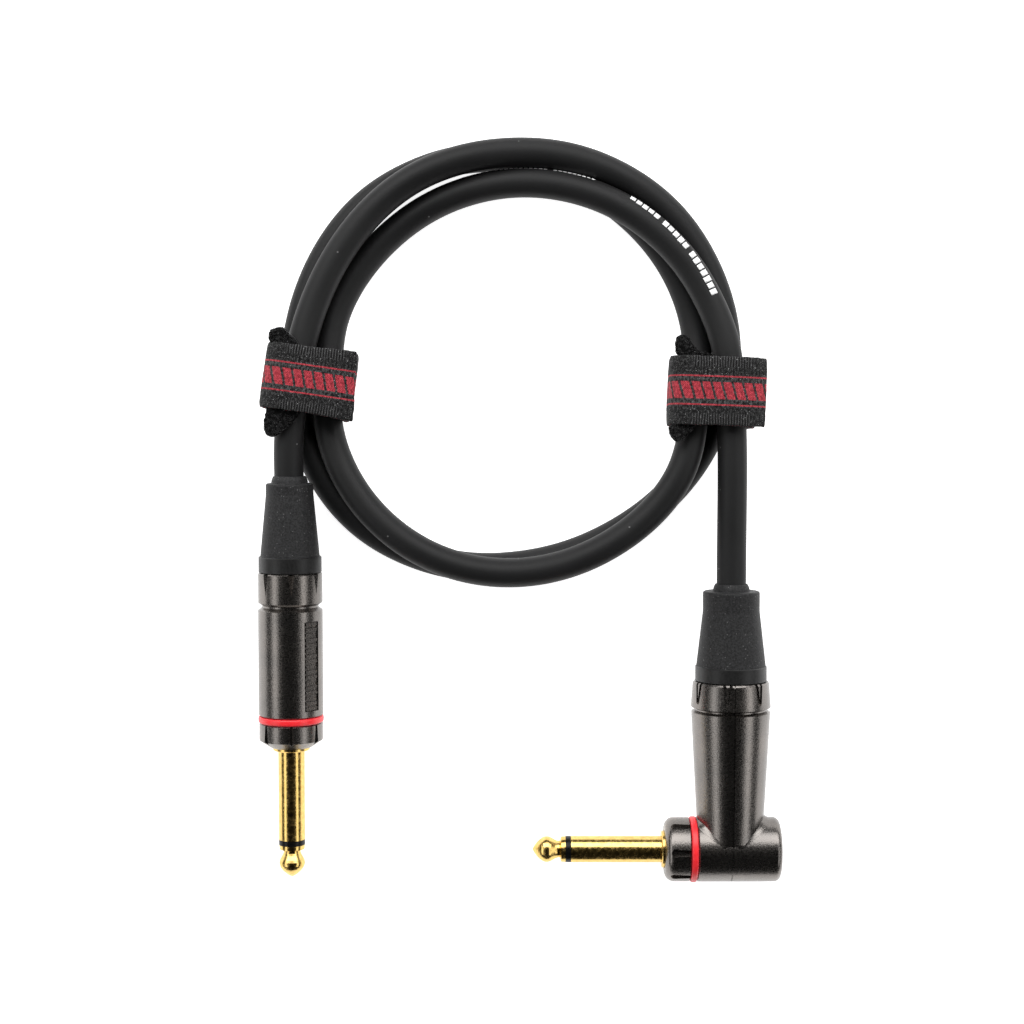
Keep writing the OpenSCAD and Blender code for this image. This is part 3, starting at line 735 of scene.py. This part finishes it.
def nap_threads(draw, outline, count):
    """Tiny loops standing on the free parts of a nap head."""
    threads = []
    while len(threads) < count:
        y = draw.uniform(outline[0][0], outline[-1][0])
        left, right = head_span(outline, y)
        x = draw.uniform(left - 0.1, right + 0.1)
        lean, turn, size = draw.uniform(0, 2 * math.pi), draw.uniform(-1, 1), draw.uniform(0.25, 0.6)
        if abs(y) < HEAD_COVERED:
            continue
        points = []
        for k in range(5):
            a = math.pi * 0.8 * k / 4
            run = size * (1 - math.cos(a)) / 2
            points.append((
                x + run * math.cos(lean + turn * a), y + run * math.sin(lean + turn * a),
                HEAD_HIGH - 0.1 + 0.5 * size * math.sin(a),
            ))
        threads.append(thread(points, LOOP_R))
    return threads


def frayed_threads(draw, middle, half, cut_x, cut_slant, count):
    """Loose ends of threads along the strap's cut edge."""
    threads = []
    for _ in range(count):
        v = draw.uniform(-1, 1)
        x = cut_x - 0.25 - cut_slant * (0.5 + 0.5 * v)
        length, bend = draw.uniform(0.35, 0.95), draw.uniform(-0.5, 0.5)
        points = [
            (x + length * t * 0.8, middle + v * half + bend * t * t, CUT_HEIGHT - 0.7 * length * t)
            for t in (0, 0.35, 0.7, 1)
        ]
        threads.append(thread(points, FRAY_R))
    return threads


# Each tie's place and its turn in degrees.
LEFT_TIE = (-49.5, 53.4), -8
RIGHT_TIE = (46.6, 51.3), -2
make_strap("left_strap", *LEFT_TIE, 1.5, 0.5, (7.75, 8.15), 1.3, "left_tie_band")
make_strap("right_strap", *RIGHT_TIE, 7.5, 0.0, (8.1, 8.1), 0.1, "right_tie_band")
make_head("left_nap", *LEFT_TIE, 2.5, LEFT_HEAD, "left_tie_head")
make_head("right_nap", *RIGHT_TIE, 8.5, RIGHT_HEAD, "right_tie_head")
pale_fibre = fibre("fibre_grey", 0.16)
dark_fibre = fibre("fibre_dark", 0.022)
draw = random.Random(4)
place_threads("left_loops", *LEFT_TIE, nap_threads(draw, LEFT_HEAD, 420), dark_fibre, "tie_nap")
place_threads("right_loops", *RIGHT_TIE, nap_threads(draw, RIGHT_HEAD, 380), dark_fibre, "tie_nap")
stray = [(-7.3, 11.4, 17.2), (-6.6, 11.1, 17.5), (-5.6, 10.5, 17.3), (-4.6, 9.8, 17), (-3.8, 8.9, 16.8)]
left_frays = frayed_threads(draw, 0.5, 8.15, CUT_X, 1.3, FRAYS) + [thread(stray, STRAY_R)]
place_threads("left_frays", *LEFT_TIE, left_frays, pale_fibre, "tie_woven")
place_threads("right_frays", *RIGHT_TIE, frayed_threads(draw, 0, 8.1, CUT_X, 0.1, FRAYS), pale_fibre, "tie_woven")


# ---------------------------------------------------------------- casting fillet in the angled plug's corner

# Where the jack's and the arm's axes meet, and the arm's rise for each millimetre of its run.
ANGLED_AT = (50.6, -58, 7.8)
ANGLED_SLOPE = 0.05
BARREL_R = 7.65
ARM_FOOT_R = 7.55
CORNER_FILLET = 2.2
BARREL_LEFT = 8.05
CORNER_INSET = 0.15


def on_angled(x, y, z):
    """Point of the angled plug's own frame, in millimetres, in the row frame in metres."""
    size = math.hypot(1, ANGLED_SLOPE)
    c, s = 1 / size, ANGLED_SLOPE / size
    return (
        (ANGLED_AT[0] + x) * MM, (ANGLED_AT[1] + s * y + c * z) * MM, (ANGLED_AT[2] - c * y + s * z) * MM,
    )


def fillet_rings(side):
    """Rings of the fillet on the arm's right (+1) or left (-1), where the barrel ends close to the arm."""
    rings = []
    for step in range(-16, 17):
        a = math.radians(5 * step)
        x, y = ARM_FOOT_R * math.cos(a), ARM_FOOT_R * math.sin(a)
        size = CORNER_FILLET * math.sqrt(math.cos(a))
        if side < 0:
            size = min(size, BARREL_LEFT - x)
        z = math.sqrt(BARREL_R ** 2 - y ** 2)
        ring = [(x - CORNER_INSET, y, z - CORNER_INSET), (x + size, y, z - CORNER_INSET)]
        for k in range(11):
            t = math.radians(9 * k)
            ring.append((x + size * (1 - math.sin(t)), y, z + size * (1 - math.cos(t))))
        ring.append((x - CORNER_INSET, y, z + size))
        rings.append([on_angled(side * px, py, pz) for px, py, pz in ring])
    return rings


def make_corner_fillet():
    solids = [fillet_rings(1), fillet_rings(-1)]
    dress(lofted("corner_fillet", solids), SLOT_MATERIALS["gunmetal"], "gunmetal")


make_corner_fillet()


# ---------------------------------------------------------------- floor and light

LIT_POINT = Vector((0, 0.02, 0.01))
FLOOR_GLOW = 0.92
WALLS = 0.42
CEILING = 0.02
FLOOR_HALF = 3.0
BOX_TILT, BOX_DISTANCE, BOX_LENGTH = 54, 0.9, 1.7


def make_floor():
    size = FLOOR_HALF
    floor = mesh_object("floor", [(-size, -size, 0), (size, -size, 0), (size, size, 0), (-size, size, 0)],
                        [(0, 1, 2, 3)], smooth=False)
    n = Nodes("floor")
    n.finish(rgb(0.8, 0.8, 0.8), 0.9)
    n.shader.inputs["Emission Color"].default_value = rgb(1, 1, 1)
    n.shader.inputs["Emission Strength"].default_value = FLOOR_GLOW
    floor.data.materials.append(n.mat)


def soft_box(name, tilt, round_to, distance, size, glow):
    """Soft box that faces the object: degrees from straight up, degrees round from +X, and its brightness."""
    data = bpy.data.lights.new(name, "AREA")
    data.shape = "RECTANGLE"
    data.size, data.size_y = size
    data.energy = glow * math.pi * size[0] * size[1]
    light = link(bpy.data.objects.new(name, data))
    a, b = math.radians(tilt), math.radians(round_to)
    away = Vector((math.sin(a) * math.cos(b), math.sin(a) * math.sin(b), math.cos(a)))
    light.location = LIT_POINT + distance * away
    light.rotation_euler = away.to_track_quat("Z", "Y").to_euler()


def make_world():
    """Studio round the table: a dark ceiling over pale walls."""
    world = bpy.data.worlds.new("studio")
    world.use_nodes = True
    bpy.context.scene.world = world
    tree = world.node_tree
    height = tree.nodes.new("ShaderNodeSeparateXYZ")
    tree.links.new(tree.nodes.new("ShaderNodeTexCoord").outputs["Generated"], height.inputs["Vector"])
    fade = tree.nodes.new("ShaderNodeMapRange")
    tree.links.new(height.outputs["Z"], fade.inputs["Value"])
    for key, number in zip(("From Min", "From Max", "To Min", "To Max"), (0.3, 0.85, WALLS, CEILING)):
        fade.inputs[key].default_value = number
    tree.links.new(fade.outputs["Result"], tree.nodes["Background"].inputs["Strength"])


bpy.context.scene.view_settings.view_transform = "Standard"
make_floor()
make_world()
soft_box("left_box", BOX_TILT, 180, BOX_DISTANCE, (BOX_LENGTH, 0.30), 2.1)
soft_box("right_box", BOX_TILT, 0, BOX_DISTANCE, (BOX_LENGTH, 0.30), 2.1)
soft_box("far_box", 46, 90, BOX_DISTANCE, (BOX_LENGTH, 0.68), 3.9)
